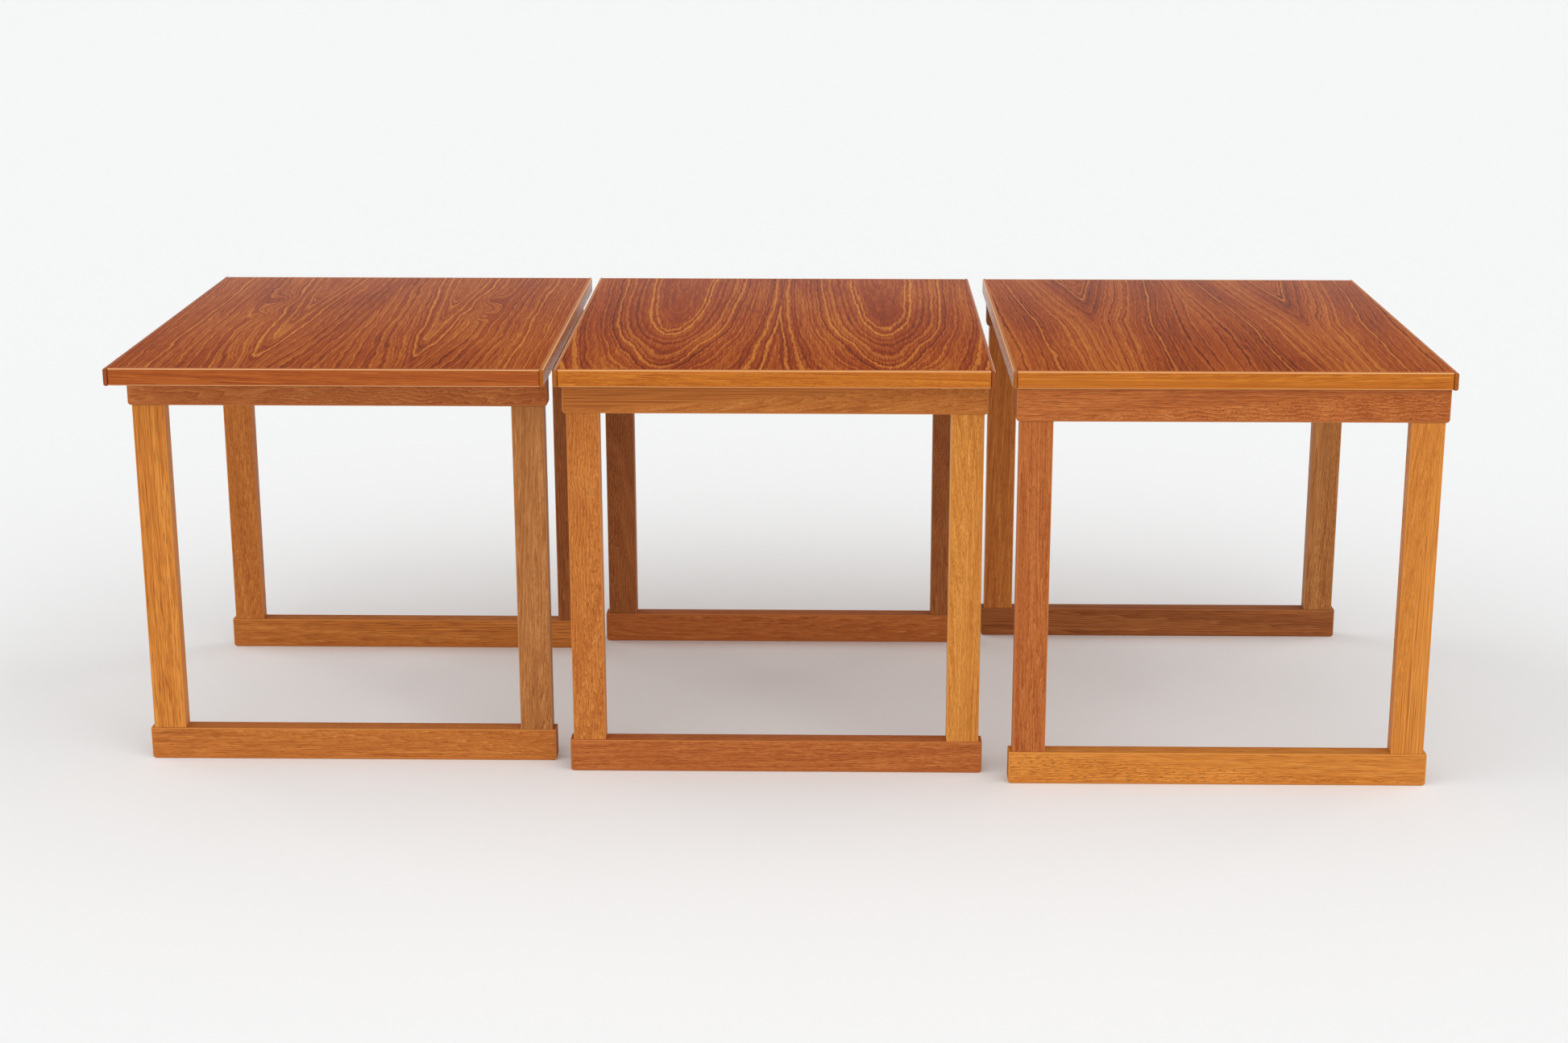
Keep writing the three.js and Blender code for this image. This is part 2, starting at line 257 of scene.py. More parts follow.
        # each drill reaches as far below the underside as above it, so that it cuts clean through
        drill = addNode(tree, "GeometryNodeMeshCylinder", {
            "Vertices": counterbore["sides"], "Radius": radius * mm, "Depth": 2 * depth * mm})
        drills.append(addNode(tree, "GeometryNodeInstanceOnPoints", {"Points": places, "Instance": drill}))
    drilled = addNode(tree, "GeometryNodeMeshBoolean", {
        "Mesh 1": welded, "Mesh 2": drills[0]}, operation="DIFFERENCE", solver="MANIFOLD")
    tree.links.new(drills[1].outputs[0], drilled.inputs["Mesh 2"])
    cut = addNode(tree, "GeometryNodeSwitch", {
        0: given["Drilled"], "False": welded, "True": drilled}, input_type="GEOMETRY")

    # how the board lay in the log: millimetres, y along the grain, x and z out from the pith
    here = addNode(tree, "ShaderNodeVectorMath", [addNode(tree, "GeometryNodeInputPosition"), centre],
                   operation="SUBTRACT")
    inMm = addNode(tree, "ShaderNodeVectorMath", {0: here, "Scale": 1 / mm}, operation="SCALE")
    part = addNode(tree, "ShaderNodeSeparateXYZ", [inMm]).outputs
    axis = addNode(tree, "ShaderNodeSeparateXYZ", [given["Grain axis"]]).outputs
    alongX = addNode(tree, "ShaderNodeCombineXYZ", [part[2], part[0], part[1]])
    alongZ = addNode(tree, "ShaderNodeCombineXYZ", [part[0], part[2], part[1]])
    alongYOrZ = addNode(tree, "GeometryNodeSwitch", [axis[2], inMm, alongZ], input_type="VECTOR")
    turned = addNode(tree, "GeometryNodeSwitch", [axis[0], alongYOrZ, alongX], input_type="VECTOR")
    spread = addNode(tree, "ShaderNodeSeparateXYZ", [turned]).outputs
    chance = addNode(tree, "FunctionNodeRandomValue", {
        0: (0.0, 0.0, -1.0), 1: (1.0, 1.0, 1.0), "ID": 0, "Seed": given["Seed"]}, data_type="FLOAT_VECTOR")
    draw = addNode(tree, "ShaderNodeSeparateXYZ", [chance]).outputs
    pithTurn, pithLowest = math.radians(plate["pithTurn"]), math.radians(plate["pithLowest"])
    pithAngle = addNode(tree, "ShaderNodeMath", [draw[0], pithTurn, pithLowest], operation="MULTIPLY_ADD")
    pithWays = [addNode(tree, "ShaderNodeMath", [pithAngle], operation=wave) for wave in ("COSINE", "SINE")]
    pithX, pithZ = [addNode(tree, "ShaderNodeMath", [given["Pith distance"], way], operation="MULTIPLY")
                    for way in pithWays]
    slope = addNode(tree, "ShaderNodeMath", [draw[2], plate["slopeReach"]], operation="MULTIPLY")
    leaning = addNode(tree, "ShaderNodeMath", [spread[1], slope, spread[0]], operation="MULTIPLY_ADD")
    startY = addNode(tree, "ShaderNodeMath", [draw[1], plate["logReach"], plate["logStart"]],
                     operation="MULTIPLY_ADD")
    inLog = [addNode(tree, "ShaderNodeMath", pair, operation="ADD")
             for pair in ((leaning, pithX), (spread[1], startY), (spread[2], pithZ))]
    grain = addNode(tree, "ShaderNodeCombineXYZ", inLog)
    marked = addNode(tree, "GeometryNodeStoreNamedAttribute", {
        "Geometry": cut, "Name": "grain", "Value": grain}, data_type="FLOAT_VECTOR", domain="POINT")
    facingEnd = addNode(tree, "ShaderNodeVectorMath", [
        addNode(tree, "GeometryNodeInputNormal"), given["Grain axis"]], operation="DOT_PRODUCT")
    closeness = addNode(tree, "ShaderNodeMath", [facingEnd.outputs["Value"]], operation="ABSOLUTE")
    isEnd = addNode(tree, "ShaderNodeMath", [closeness, plate["endFacing"]], operation="GREATER_THAN")
    ended = addNode(tree, "GeometryNodeStoreNamedAttribute", {
        "Geometry": marked, "Name": "endGrain", "Value": isEnd}, data_type="FLOAT", domain="FACE")
    realised = addNode(tree, "GeometryNodeRealizeInstances", [ended])
    finished = addNode(tree, "GeometryNodeSetMaterial", {"Geometry": realised, "Material": given["Finish"]})
    addNode(tree, "NodeGroupOutput", [finished])
    return tree


def softenNormals(piece):
    # big faces keep their own direction, so only the arrises shade as round
    for polygon in piece.data.polygons:
        polygon.use_smooth = True
    piece.data.set_sharp_from_angle(angle=math.radians(plate["sharpAngle"]))
    modifier = piece.modifiers.new("weighted", "WEIGHTED_NORMAL")
    modifier.weight = plate["faceWeight"]
    modifier.keep_sharp = True
    depsgraph = bpy.context.evaluated_depsgraph_get()
    mesh = bpy.data.meshes.new_from_object(piece.evaluated_get(depsgraph), depsgraph=depsgraph)
    piece.modifiers.clear()
    rough, piece.data = piece.data, mesh
    mesh.name = piece.name
    bpy.data.meshes.remove(rough)


# the wood screws: up through the apron's counterbores into the top, in mm
screw = {
    "sides": 32, "seed": 5,
    "seat": 3.0,  # the counterbore's floor, above the screw's lowest point
    "slack": 0.3,  # from that floor down to the head's flat side
    "headRadius": 4.0, "headHeight": 1.9, "dome": 0.8, "domeRings": 16,
    "slotWidth": 1.1, "slotDepth": 1.3,
    "shankRadius": 1.75, "length": 33.5, "taper": 5.0,
    "tip": 0.12,  # the point's width as a share of the shank's
    "crest": 0.35, "pitch": 2.2, "threadRings": 90,
    "plain": 8.0, "runIn": 2.0,  # shank without thread under the head, then how soon the thread is full
}


def screwTree():
    # one screw on each point that it is given, its seat at the point, head down
    tree = newTree("screwTree", {
        "Seed": ("NodeSocketInt", 0),
        "Finish": ("NodeSocketMaterial", None),
    })
    given = addNode(tree, "NodeGroupInput").outputs

    # the shank: a cylinder drawn in to a point, with a thread that winds round it
    rod = addNode(tree, "GeometryNodeMeshCylinder", {
        "Vertices": screw["sides"], "Side Segments": screw["threadRings"], "Radius": 1.0,
        "Depth": screw["length"]})
    position = addNode(tree, "GeometryNodeInputPosition")
    at = addNode(tree, "ShaderNodeSeparateXYZ", [position]).outputs
    high = addNode(tree, "ShaderNodeMath", [at[2], screw["length"] / 2], operation="ADD")
    toTip = addNode(tree, "ShaderNodeMath", [screw["length"], high], operation="SUBTRACT")
    tip = addNode(tree, "ShaderNodeMapRange", [toTip, 0.0, screw["taper"], screw["tip"], 1.0])
    turn = addNode(tree, "ShaderNodeMath", [at[1], at[0]], operation="ARCTAN2")
    lead = addNode(tree, "ShaderNodeMath", [turn, 1 / (2 * math.pi)], operation="MULTIPLY")
    wind = addNode(tree, "ShaderNodeMath", [high, 1 / screw["pitch"], lead], operation="MULTIPLY_ADD")
    wave = addNode(tree, "ShaderNodeMath", [wind, 1.0], operation="PINGPONG")
    crest = addNode(tree, "ShaderNodeMapRange", [
        high, screw["plain"], screw["plain"] + screw["runIn"], 0.0, screw["crest"]])
    swell = addNode(tree, "ShaderNodeMath", [wave, crest, screw["shankRadius"]], operation="MULTIPLY_ADD")
    radius = addNode(tree, "ShaderNodeMath", [swell, tip], operation="MULTIPLY")
    wide = addNode(tree, "ShaderNodeCombineXYZ", [radius, radius, 1.0])
    turned = addNode(tree, "ShaderNodeVectorMath", [position, wide], operation="MULTIPLY")
    shank = addNode(tree, "GeometryNodeSetPosition", {"Geometry": rod, "Position": turned})
    raised = addNode(tree, "GeometryNodeTransform", {
        "Geometry": shank, "Translation": (0.0, 0.0, screw["length"] / 2 - screw["slack"])})

    # the head: a low dome with a straight slot
    dome = addNode(tree, "GeometryNodeMeshUVSphere", {
        "Segments": screw["sides"], "Rings": screw["domeRings"], "Radius": 1.0})
    squashed = addNode(tree, "GeometryNodeTransform", {
        "Geometry": dome, "Scale": (screw["headRadius"], screw["headRadius"], screw["dome"]),
        "Translation": (0.0, 0.0, -screw["seat"] + screw["dome"])})
    flange = addNode(tree, "GeometryNodeMeshCylinder", {
        "Vertices": screw["sides"], "Radius": screw["headRadius"], "Depth": screw["headHeight"]})
    under = addNode(tree, "GeometryNodeTransform", {
        "Geometry": flange, "Translation": (0.0, 0.0, -screw["slack"] - screw["headHeight"] / 2)})
    whole = addNode(tree, "GeometryNodeMeshBoolean", {"Mesh 2": under}, operation="UNION", solver="MANIFOLD")
    for other in (squashed, raised):
        tree.links.new(other.outputs[0], whole.inputs["Mesh 2"])
    blade = addNode(tree, "GeometryNodeMeshCube", {
        "Size": (3 * screw["headRadius"], screw["slotWidth"], 2 * screw["slotDepth"])})
    lowered = addNode(tree, "GeometryNodeTransform", {
        "Geometry": blade, "Translation": (0.0, 0.0, -screw["seat"])})
    slotted = addNode(tree, "GeometryNodeMeshBoolean", {
        "Mesh 1": whole, "Mesh 2": lowered}, operation="DIFFERENCE", solver="MANIFOLD")

    # each screw stops at its own turn
    stopped = addNode(tree, "FunctionNodeRandomValue", {
        0: (0.0, 0.0, 0.0), 1: (0.0, 0.0, math.pi), "Seed": given["Seed"]}, data_type="FLOAT_VECTOR")
    driven = addNode(tree, "GeometryNodeInstanceOnPoints", {
        "Points": given["Geometry"], "Instance": slotted, "Rotation": stopped, "Scale": (mm, mm, mm)})
    realised = addNode(tree, "GeometryNodeRealizeInstances", [driven])
    finished = addNode(tree, "GeometryNodeSetMaterial", {"Geometry": realised, "Material": given["Finish"]})
    addNode(tree, "NodeGroupOutput", [finished])
    return tree


# Oiled teak from six boards: sawn, planed and rubbed with oil, so the growth rings show as fine
# lines, the open pores as short dark dashes, and the arrises are painted a little paler, partly rubbed wear
# and partly a painted highlight where light would glint on them. The backing is knife-cut from the same wood,
# thin and dull.
solidTeak = {
    "teak_honey": {"name": "oiledTeakHoney", "base": "#cd7f30", "dark": "#b26520", "light": "#da9343"},
    "teak_gold": {"name": "oiledTeakGold", "base": "#ce8435", "dark": "#b56b25", "light": "#dc9b4c"},
    "teak_amber": {"name": "oiledTeakAmber", "base": "#bd6f2c", "dark": "#a1561e", "light": "#cf8741"},
    "teak_russet": {"name": "oiledTeakRusset", "base": "#b2622b", "dark": "#95491b", "light": "#c57a3e"},
    "teak_brown": {"name": "oiledTeakBrown", "base": "#b07038", "dark": "#8d5123", "light": "#c58a51"},
    "teak_umber": {"name": "oiledTeakUmber", "base": "#995728", "dark": "#7a3f19", "light": "#af6d3b"},
    "backing_veneer": {
        "name": "oiledBackingVeneer", "base": "#a3683f", "dark": "#875031", "light": "#b87d50"},
}
# The lippings went through the lacquer with their top: deeper and redder, smooth enough to shine,
# and painted pale along the arrises of their length: a painted highlight for the lamps' glint on the lacquer,
# with a little rubbed wear.
lippingTeak = {
    "teak_honey": {"name": "lacqueredTeakHoney", "base": "#cc7b28", "dark": "#ab5c18", "light": "#dc9340"},
    "teak_gold": {"name": "lacqueredTeakGold", "base": "#cf8025", "dark": "#b0641a", "light": "#e09a40"},
    "teak_amber": {"name": "lacqueredTeakAmber", "base": "#be6a18", "dark": "#9a4c0c", "light": "#d4872e"},
    "teak_russet": {"name": "lacqueredTeakRusset", "base": "#a6511a", "dark": "#84390a", "light": "#c06c29"},
}
teakGrain = {
    "ringSpacing": 2.6,  # mm between growth rings
    "ringWander": 14.0,  # mm over which the spacing changes
    "ringUneven": 1.6,  # rings by which it runs ahead or behind
    # a ring's shade: a pale porous start, then slowly darker to a thin dark end
    "ringStops": ((0.0, 0.35), (0.1, 0.75), (0.3, 0.55), (0.75, 0.42), (1.0, 0.2)),
    "bandWidth": 33.6, "bandShade": 0.5,  # mm; good and bad years
    "driftScale": (0.02, 0.006, 0.02),  # how quickly the rings wander over the board, per mm
    "driftReach": 5.0,  # how far they wander, in mm
    "cloudScale": (0.02, 0.004, 0.02), "cloudShade": 0.8,  # broad paler and darker patches, per mm
    "fibreWidth": 0.8,  # mm; real fibres are finer, drawn this coarse to show
    "fibreLength": 80.0,  # mm
    "fibreShade": 1.2,
    "poreWidth": 0.5,  # mm; real pores are 0.2 to 0.3 mm, drawn coarser to show
    "poreLength": 18.0,  # mm
    "poreMask": (0.6, 0.68, 0.0, 0.6),  # noise from, to -> strength from, to
    "poreColour": "#5e3014",
    "endColour": "#6b3514", "endShare": 0.4,  # end grain drinks more oil
    "arris": (0.995, 0.8, 0.0, 0.75),  # a face's squareness from, to -> paleness from, to: rubbed wear and painted highlight
    # the lippings' pale arris colour, mostly a painted highlight with a little rubbed wear
    "lippingArrisHighlight": "#e8b078",
    "lippingHighlightTilt": (0.05, 0.35),  # on a lipping the painted highlight, with its wear, runs along the length, not up the corners
    "oiled": 0.5,  # roughness of each finish
    "lacquered": 0.25,
    "fibreGloss": 0.25, "endGloss": 0.15,  # how far fibres and end grain change it
    "poreDepth": -0.6, "fibreHeight": 0.5, "reliefStrength": 0.25,
    "relief": 0.1,  # mm
}


def teakMaterial(look, lacquered=False):
    material = bpy.data.materials.new(look["name"])
    material.use_nodes = True
    tree = material.node_tree
    tree.nodes.clear()
    grain = addNode(tree, "ShaderNodeAttribute", attribute_name="grain").outputs["Vector"]
    endGrain = addNode(tree, "ShaderNodeAttribute", attribute_name="endGrain").outputs["Fac"]

    def blotch(scale, detail):
        # noise stretched along the grain; its middle value is 0.5
        stretched = addNode(tree, "ShaderNodeVectorMath", [grain, scale], operation="MULTIPLY")
        return addNode(tree, "ShaderNodeTexNoise", {"Vector": stretched, "Scale": 1.0, "Detail": detail})

    # distance from the pith, which the rings follow, wandering a little
    part = addNode(tree, "ShaderNodeSeparateXYZ", [grain]).outputs
    squares = [addNode(tree, "ShaderNodeMath", [side, 2.0], operation="POWER") for side in (part[0], part[2])]
    total = addNode(tree, "ShaderNodeMath", squares, operation="ADD")
    away = addNode(tree, "ShaderNodeMath", [total], operation="SQRT")
    drift = addNode(tree, "ShaderNodeMath", [blotch(teakGrain["driftScale"], 2.0), 0.5], operation="SUBTRACT")
    ringAt = addNode(tree, "ShaderNodeMath", [drift, 2 * teakGrain["driftReach"], away],
                     operation="MULTIPLY_ADD")
    wander = addNode(tree, "ShaderNodeMath", [ringAt, teakGrain["ringWander"]], operation="DIVIDE")
    uneven = addNode(tree, "ShaderNodeTexNoise", {"W": wander, "Scale": 1.0, "Detail": 1.0},
                     noise_dimensions="1D")
    spaced = addNode(tree, "ShaderNodeMath", [ringAt, teakGrain["ringSpacing"]], operation="DIVIDE")
    phase = addNode(tree, "ShaderNodeMath", [uneven, teakGrain["ringUneven"], spaced],
                    operation="MULTIPLY_ADD")
    saw = addNode(tree, "ShaderNodeMath", [phase], operation="FRACT")
    ringShade = addNode(tree, "ShaderNodeValToRGB", {"Fac": saw})
    setStops(ringShade, teakGrain["ringStops"])

    # on top of the rings: bands, fibres and clouds, each lighter or darker than the middle
    years = addNode(tree, "ShaderNodeMath", [ringAt, teakGrain["bandWidth"]], operation="DIVIDE")
    band = addNode(tree, "ShaderNodeTexNoise", {"W": years, "Scale": 1.0, "Detail": 2.0},
                   noise_dimensions="1D")
    fibreScale = [1 / teakGrain["fibreWidth"], 1 / teakGrain["fibreLength"], 1 / teakGrain["fibreWidth"]]
    poreScale = [1 / teakGrain["poreWidth"], 1 / teakGrain["poreLength"], 1 / teakGrain["poreWidth"]]
    fibre = blotch(fibreScale, 3.0)
    cloud = blotch(teakGrain["cloudScale"], 2.0)
    shade = ringShade
    for layer, strength in ((band, "bandShade"), (fibre, "fibreShade"), (cloud, "cloudShade")):
        centred = addNode(tree, "ShaderNodeMath", [layer, 0.5], operation="SUBTRACT")
        shade = addNode(tree, "ShaderNodeMath", [centred, teakGrain[strength], shade],
                        operation="MULTIPLY_ADD")
    wood = addNode(tree, "ShaderNodeValToRGB", {"Fac": shade})
    setStops(wood, ((0.1, linear(look["dark"])), (0.5, linear(look["base"])), (0.9, linear(look["light"]))))
    poreMask = addNode(tree, "ShaderNodeMapRange", [blotch(poreScale, 0.0), *teakGrain["poreMask"]])
    pored = addNode(tree, "ShaderNodeMix", {
        "Factor": poreMask, 6: wood, 7: linear(teakGrain["poreColour"])}, data_type="RGBA")
    soaked = addNode(tree, "ShaderNodeMath", [endGrain, teakGrain["endShare"]], operation="MULTIPLY")
    ends = addNode(tree, "ShaderNodeMix", {
        "Factor": soaked, 6: pored.outputs[2], 7: linear(teakGrain["endColour"])}, data_type="RGBA")

    # arrises: where the surface turns between two faces, painted paler there as rubbed wear and a painted
    # highlight
    normal = addNode(tree, "ShaderNodeTexCoord").outputs["Normal"]
    tilt = addNode(tree, "ShaderNodeVectorMath", [normal], operation="ABSOLUTE")
    side = addNode(tree, "ShaderNodeSeparateXYZ", [tilt]).outputs
    wider = addNode(tree, "ShaderNodeMath", [side[0], side[1]], operation="MAXIMUM")
    most = addNode(tree, "ShaderNodeMath", [wider, side[2]], operation="MAXIMUM")
    arris = addNode(tree, "ShaderNodeMapRange", [most, *teakGrain["arris"]])
    # which arrises take the painted highlight: on a lipping only those along its length, on other boards all
    highlightFacing = addNode(tree, "ShaderNodeMapRange", [
        side[2], *teakGrain["lippingHighlightTilt"], 0.0 if lacquered else 1.0, 1.0])
    wearAndHighlight = addNode(tree, "ShaderNodeMath", [arris, highlightFacing], operation="MULTIPLY")
    # the arrises' pale colour: rubbed wear plus a painted highlight, strongest on the lippings
    arrisHighlightColour = linear(teakGrain["lippingArrisHighlight"] if lacquered else look["light"])
    wornAndHighlit = addNode(tree, "ShaderNodeMix", {
        "Factor": wearAndHighlight, 6: ends.outputs[2], 7: arrisHighlightColour}, data_type="RGBA")

    sheen = addNode(tree, "ShaderNodeMath", [0.5, fibre], operation="SUBTRACT")
    dull = addNode(tree, "ShaderNodeMath", [
        sheen, teakGrain["fibreGloss"], teakGrain["lacquered" if lacquered else "oiled"]],
        operation="MULTIPLY_ADD")
    gloss = addNode(tree, "ShaderNodeMath", [endGrain, teakGrain["endGloss"], dull], operation="MULTIPLY_ADD")
    ridges = addNode(tree, "ShaderNodeMath", [fibre, teakGrain["fibreHeight"]], operation="MULTIPLY")
    relief = addNode(tree, "ShaderNodeMath", [poreMask, teakGrain["poreDepth"], ridges],
                     operation="MULTIPLY_ADD")
    bump = addNode(tree, "ShaderNodeBump", {
        "Height": relief, "Strength": teakGrain["reliefStrength"], "Distance": teakGrain["relief"] * mm})
    surface = addNode(tree, "ShaderNodeBsdfPrincipled", {
        "Base Color": wornAndHighlit.outputs[2], "Roughness": gloss, "Normal": bump,
        "IOR": 1.48, "Specular IOR Level": 0.18})
    addNode(tree, "ShaderNodeOutputMaterial", [surface])
    return material


# Crown-cut teak veneer under a satin lacquer: red-brown, with thin pale lines between dark ones, and
# a soft even shine. Each top has two leaves from one flitch, opened like a book, so the cathedral
# arches mirror each other about the seam. Distances in mm; "rise" says how far the arches have closed
# in at each distance from the back edge, and "flames" are (from the seam, from the back, width,
# length, lift) of single islands in the figure.
faceVeneer = {
    "left_table": {
        "name": "lacqueredTeakVeneerLeft", "seed": 11.3,
        "crown": 82.0, "blunt": 4.0, "reach": (20.0, 105.0, 0.12),
        "rise": ((0, 0), (60, 3), (150, 10), (210, 15), (300, 19), (410, 31), (450, 34)),
        "lineSpacing": 7.0, "lineStrength": 0.5, "zoneStrength": 0.15, "fineStrength": 0.8,
        "plain": (0.0, 3.0),
        "accents": ((14, 0.25), (23, 0.35), (34, 0.45), (46, 0.25), (64, 0.3)),
        "dark": "#6c2606", "base": "#a24816", "line": "#cd7f30",
        "flames": ((122, 128, 13, 26, 20.0), (123, 210, 12, 20, 17.0), (80, 70, 10, 60, -9.0)),
        "wobble": (10.0, 7.0, 3.5),
    },
    "middle_table": {
        "name": "lacqueredTeakVeneerMiddle", "seed": 4.7,
        "crown": 117.0, "blunt": 30.0, "reach": (35.0, 125.0, 0.15),
        "rise": ((0, 0), (150, 4), (200, 7), (250, 12), (285, 17), (345, 30), (395, 37), (450, 48)),
        "lineSpacing": 7.5, "lineStrength": 0.45, "zoneStrength": 0.3, "fineStrength": 0.9,
        "plain": (54.0, 74.0),
        "accents": ((43, 0.45), (47, 0.55), (53, -0.2), (58, -0.3), (67, 0.45), (75, 0.35), (100, 0.25)),
        "dark": "#602206", "base": "#9c4012", "line": "#cf7f2e",
        "flames": ((117, 20, 7, 40, -9.0),),
        "wobble": (8.0, 3.5, 3.0),
    },
    "right_table": {
        "name": "lacqueredTeakVeneerRight", "seed": 27.9,
        "crown": 117.0, "blunt": 3.0, "reach": (20.0, 120.0, 0.15),
        "rise": ((0, 0), (115, 18), (200, 31), (225, 34), (330, 37), (450, 39)),
        "lineSpacing": 5.2, "lineStrength": 0.38, "zoneStrength": 0.4, "fineStrength": 1.0,
        "plain": (0.0, 3.0),
        "accents": ((8, 0.2), (20, 0.3), (35, -0.2), (52, -0.2)),
        "dark": "#642408", "base": "#a44a18", "line": "#c8782e",
        "flames": (),
        "wobble": (9.0, 4.5, 2.2),
    },
}
# what the three veneers share; a blotch is (mm across, mm along, detail, offset, change per leaf), and
# a run along the arches is (mm, detail, offset)
veneerFigure = {
    "length": 450.0,  # mm from the back edge to the front
    "riseUnit": 100.0,  # mm that the full height of the rise curve stands for
    "waves": ((60, 200, 1.0, 0.0, 0.12), (14, 80, 1.0, 3.1, 0.4), (7, 17, 2.0, 9.7, 0.7),
              (1.8, 22, 2.0, 5.3, 1.0)),
    "raggedReach": 2.6,  # mm; the finest wave frays the tips of the arches
    "crowding": (26, 1.0, 2.0), "crowdingReach": 1.8,
    # one line: a thin pale ridge, then a slow fall to a dark edge
    "lineStops": ((0.0, 0.5), (0.03, 0.95), (0.08, 0.95), (0.15, 0.55), (0.6, 0.46), (0.88, 0.3),
                  (1.0, 0.42)),
    "lineMiddle": 0.47,
    "fading": (9, 0.0, 7.0), "fadingReach": 1.7, "fadingMiddle": 0.62, "lineGain": 1.5,
    "plainShare": 0.35,  # how much of the lines is left inside the arches
    "accentFall": -1.6,  # how quickly an accent fades to its sides
    "zones": (34, 1.0, 13.0), "zoneGain": 1.3,
    "fine": (2.4, 1.0, 17.0),
    "fibre": (0.9, 24, 3.0, 8.0, 1.0), "fibreShade": 0.75,  # coarser than real fibres, to show
    "streak": (1.9, 70, 2.0, 41.0, 0.6), "streakShade": 0.35,
    "cloud": (90, 240, 1.0, 21.0, 0.2), "cloudShade": 0.5,
    "middleShade": 0.45,
    "pore": (0.6, 6.0, 0.0, 31.0, 1.0),  # real pores are 0.2 to 0.3 mm across, drawn coarser to show
    "poreMask": (0.17, 0.28, 0.0, 0.5), "poreColour": "#5a2a14",
    "roughness": 0.13, "fibreGloss": -0.06,
    "poreDepth": -0.6, "fibreHeight": 0.4, "reliefStrength": 0.2,
    "relief": 0.06,  # mm
}


def veneerMaterial(table):
    look, figure = faceVeneer[table], veneerFigure
    low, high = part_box(table + "_top_core")
    material = bpy.data.materials.new(look["name"])
    material.use_nodes = True
    tree = material.node_tree
    tree.nodes.clear()

    # millimetres from the seam and from the back edge
    where = addNode(tree, "ShaderNodeTexCoord").outputs["Object"]
    seamAtBack = ((low.x + high.x) / 2, cadHigh.y, 0.0)
    moved = addNode(tree, "ShaderNodeVectorMath", [where, seamAtBack], operation="SUBTRACT")
    inMm = addNode(tree, "ShaderNodeVectorMath", [moved, (1 / mm, -1 / mm, 1 / mm)], operation="MULTIPLY")
    part = addNode(tree, "ShaderNodeSeparateXYZ", [inMm]).outputs
    fromSeam = addNode(tree, "ShaderNodeMath", [part[0]], operation="ABSOLUTE")
    fromBack = part[1]
    leaf = addNode(tree, "ShaderNodeMath", [part[0]], operation="SIGN")

    def blotch(acrossSize, alongSize, detail, offset, perLeaf):
        # noise with blotches of this size, mirrored at the seam
        across = addNode(tree, "ShaderNodeMath", [fromSeam, acrossSize], operation="DIVIDE")
        down = addNode(tree, "ShaderNodeMath", [fromBack, alongSize], operation="DIVIDE")
        own = addNode(tree, "ShaderNodeMath", [leaf, perLeaf, look["seed"] + offset],
                      operation="MULTIPLY_ADD")
        spot = addNode(tree, "ShaderNodeCombineXYZ", [across, down, own])
        noise = addNode(tree, "ShaderNodeTexNoise", {"Vector": spot, "Scale": 1.0, "Detail": detail})
        return addNode(tree, "ShaderNodeMath", [noise, 0.5], operation="SUBTRACT")

    # the arches: level lines of distance from the crown plus how far they have closed in
    aside = addNode(tree, "ShaderNodeMath", [fromSeam, look["crown"]], operation="SUBTRACT")
    rounded = addNode(tree, "ShaderNodeMath", [aside, aside, look["blunt"] ** 2], operation="MULTIPLY_ADD")
    blunt = addNode(tree, "ShaderNodeMath", [rounded], operation="SQRT")
    down = addNode(tree, "ShaderNodeMath", [fromBack, figure["length"]], operation="DIVIDE")
    rise = addNode(tree, "ShaderNodeFloatCurve", {"Value": down})
    marks = rise.mapping.curves[0].points
    for fromEdge, closed in look["rise"][1:-1]:
        marks.new(fromEdge / figure["length"], closed / figure["riseUnit"])
    for mark in marks[1:-1]:
        mark.handle_type = "AUTO_CLAMPED"
    marks[0].location = (0.0, look["rise"][0][1] / figure["riseUnit"])
    marks[-1].location = (1.0, look["rise"][-1][1] / figure["riseUnit"])
    rise.mapping.update()
    beside = addNode(tree, "ShaderNodeMath", [aside], operation="ABSOLUTE")
    near, far, share = look["reach"]
    fade = addNode(tree, "ShaderNodeMapRange", [
        beside, near, far, figure["riseUnit"], figure["riseUnit"] * share])
    level = addNode(tree, "ShaderNodeMath", [rise, fade, blunt], operation="MULTIPLY_ADD")
    for across, along, width, length, lift in look["flames"]:
        squares = []
        for distance, middle, size in ((fromSeam, across, width), (fromBack, along, length)):
            off = addNode(tree, "ShaderNodeMath", [distance, middle], operation="SUBTRACT")
            ratio = addNode(tree, "ShaderNodeMath", [off, size], operation="DIVIDE")
            squares.append(addNode(tree, "ShaderNodeMath", [ratio, 2.0], operation="POWER"))
        total = addNode(tree, "ShaderNodeMath", squares, operation="ADD")
        falls = addNode(tree, "ShaderNodeMath", [total, -1.0], operation="MULTIPLY")
        hill = addNode(tree, "ShaderNodeMath", [falls], operation="EXPONENT")
        level = addNode(tree, "ShaderNodeMath", [hill, lift, level], operation="MULTIPLY_ADD")
    for wave, reach in zip(figure["waves"], (*look["wobble"], figure["raggedReach"])):
        level = addNode(tree, "ShaderNodeMath", [blotch(*wave), reach, level], operation="MULTIPLY_ADD")

    def runAlong(size, detail, offset):
        # noise that is the same all along one arch
        scaled = addNode(tree, "ShaderNodeMath", [level, size], operation="DIVIDE")
        shifted = addNode(tree, "ShaderNodeMath", [scaled, look["seed"] + offset], operation="ADD")
        noise = addNode(tree, "ShaderNodeTexNoise", {"W": shifted, "Scale": 1.0, "Detail": detail},
                        noise_dimensions="1D")
        return addNode(tree, "ShaderNodeMath", [noise, 0.5], operation="SUBTRACT")

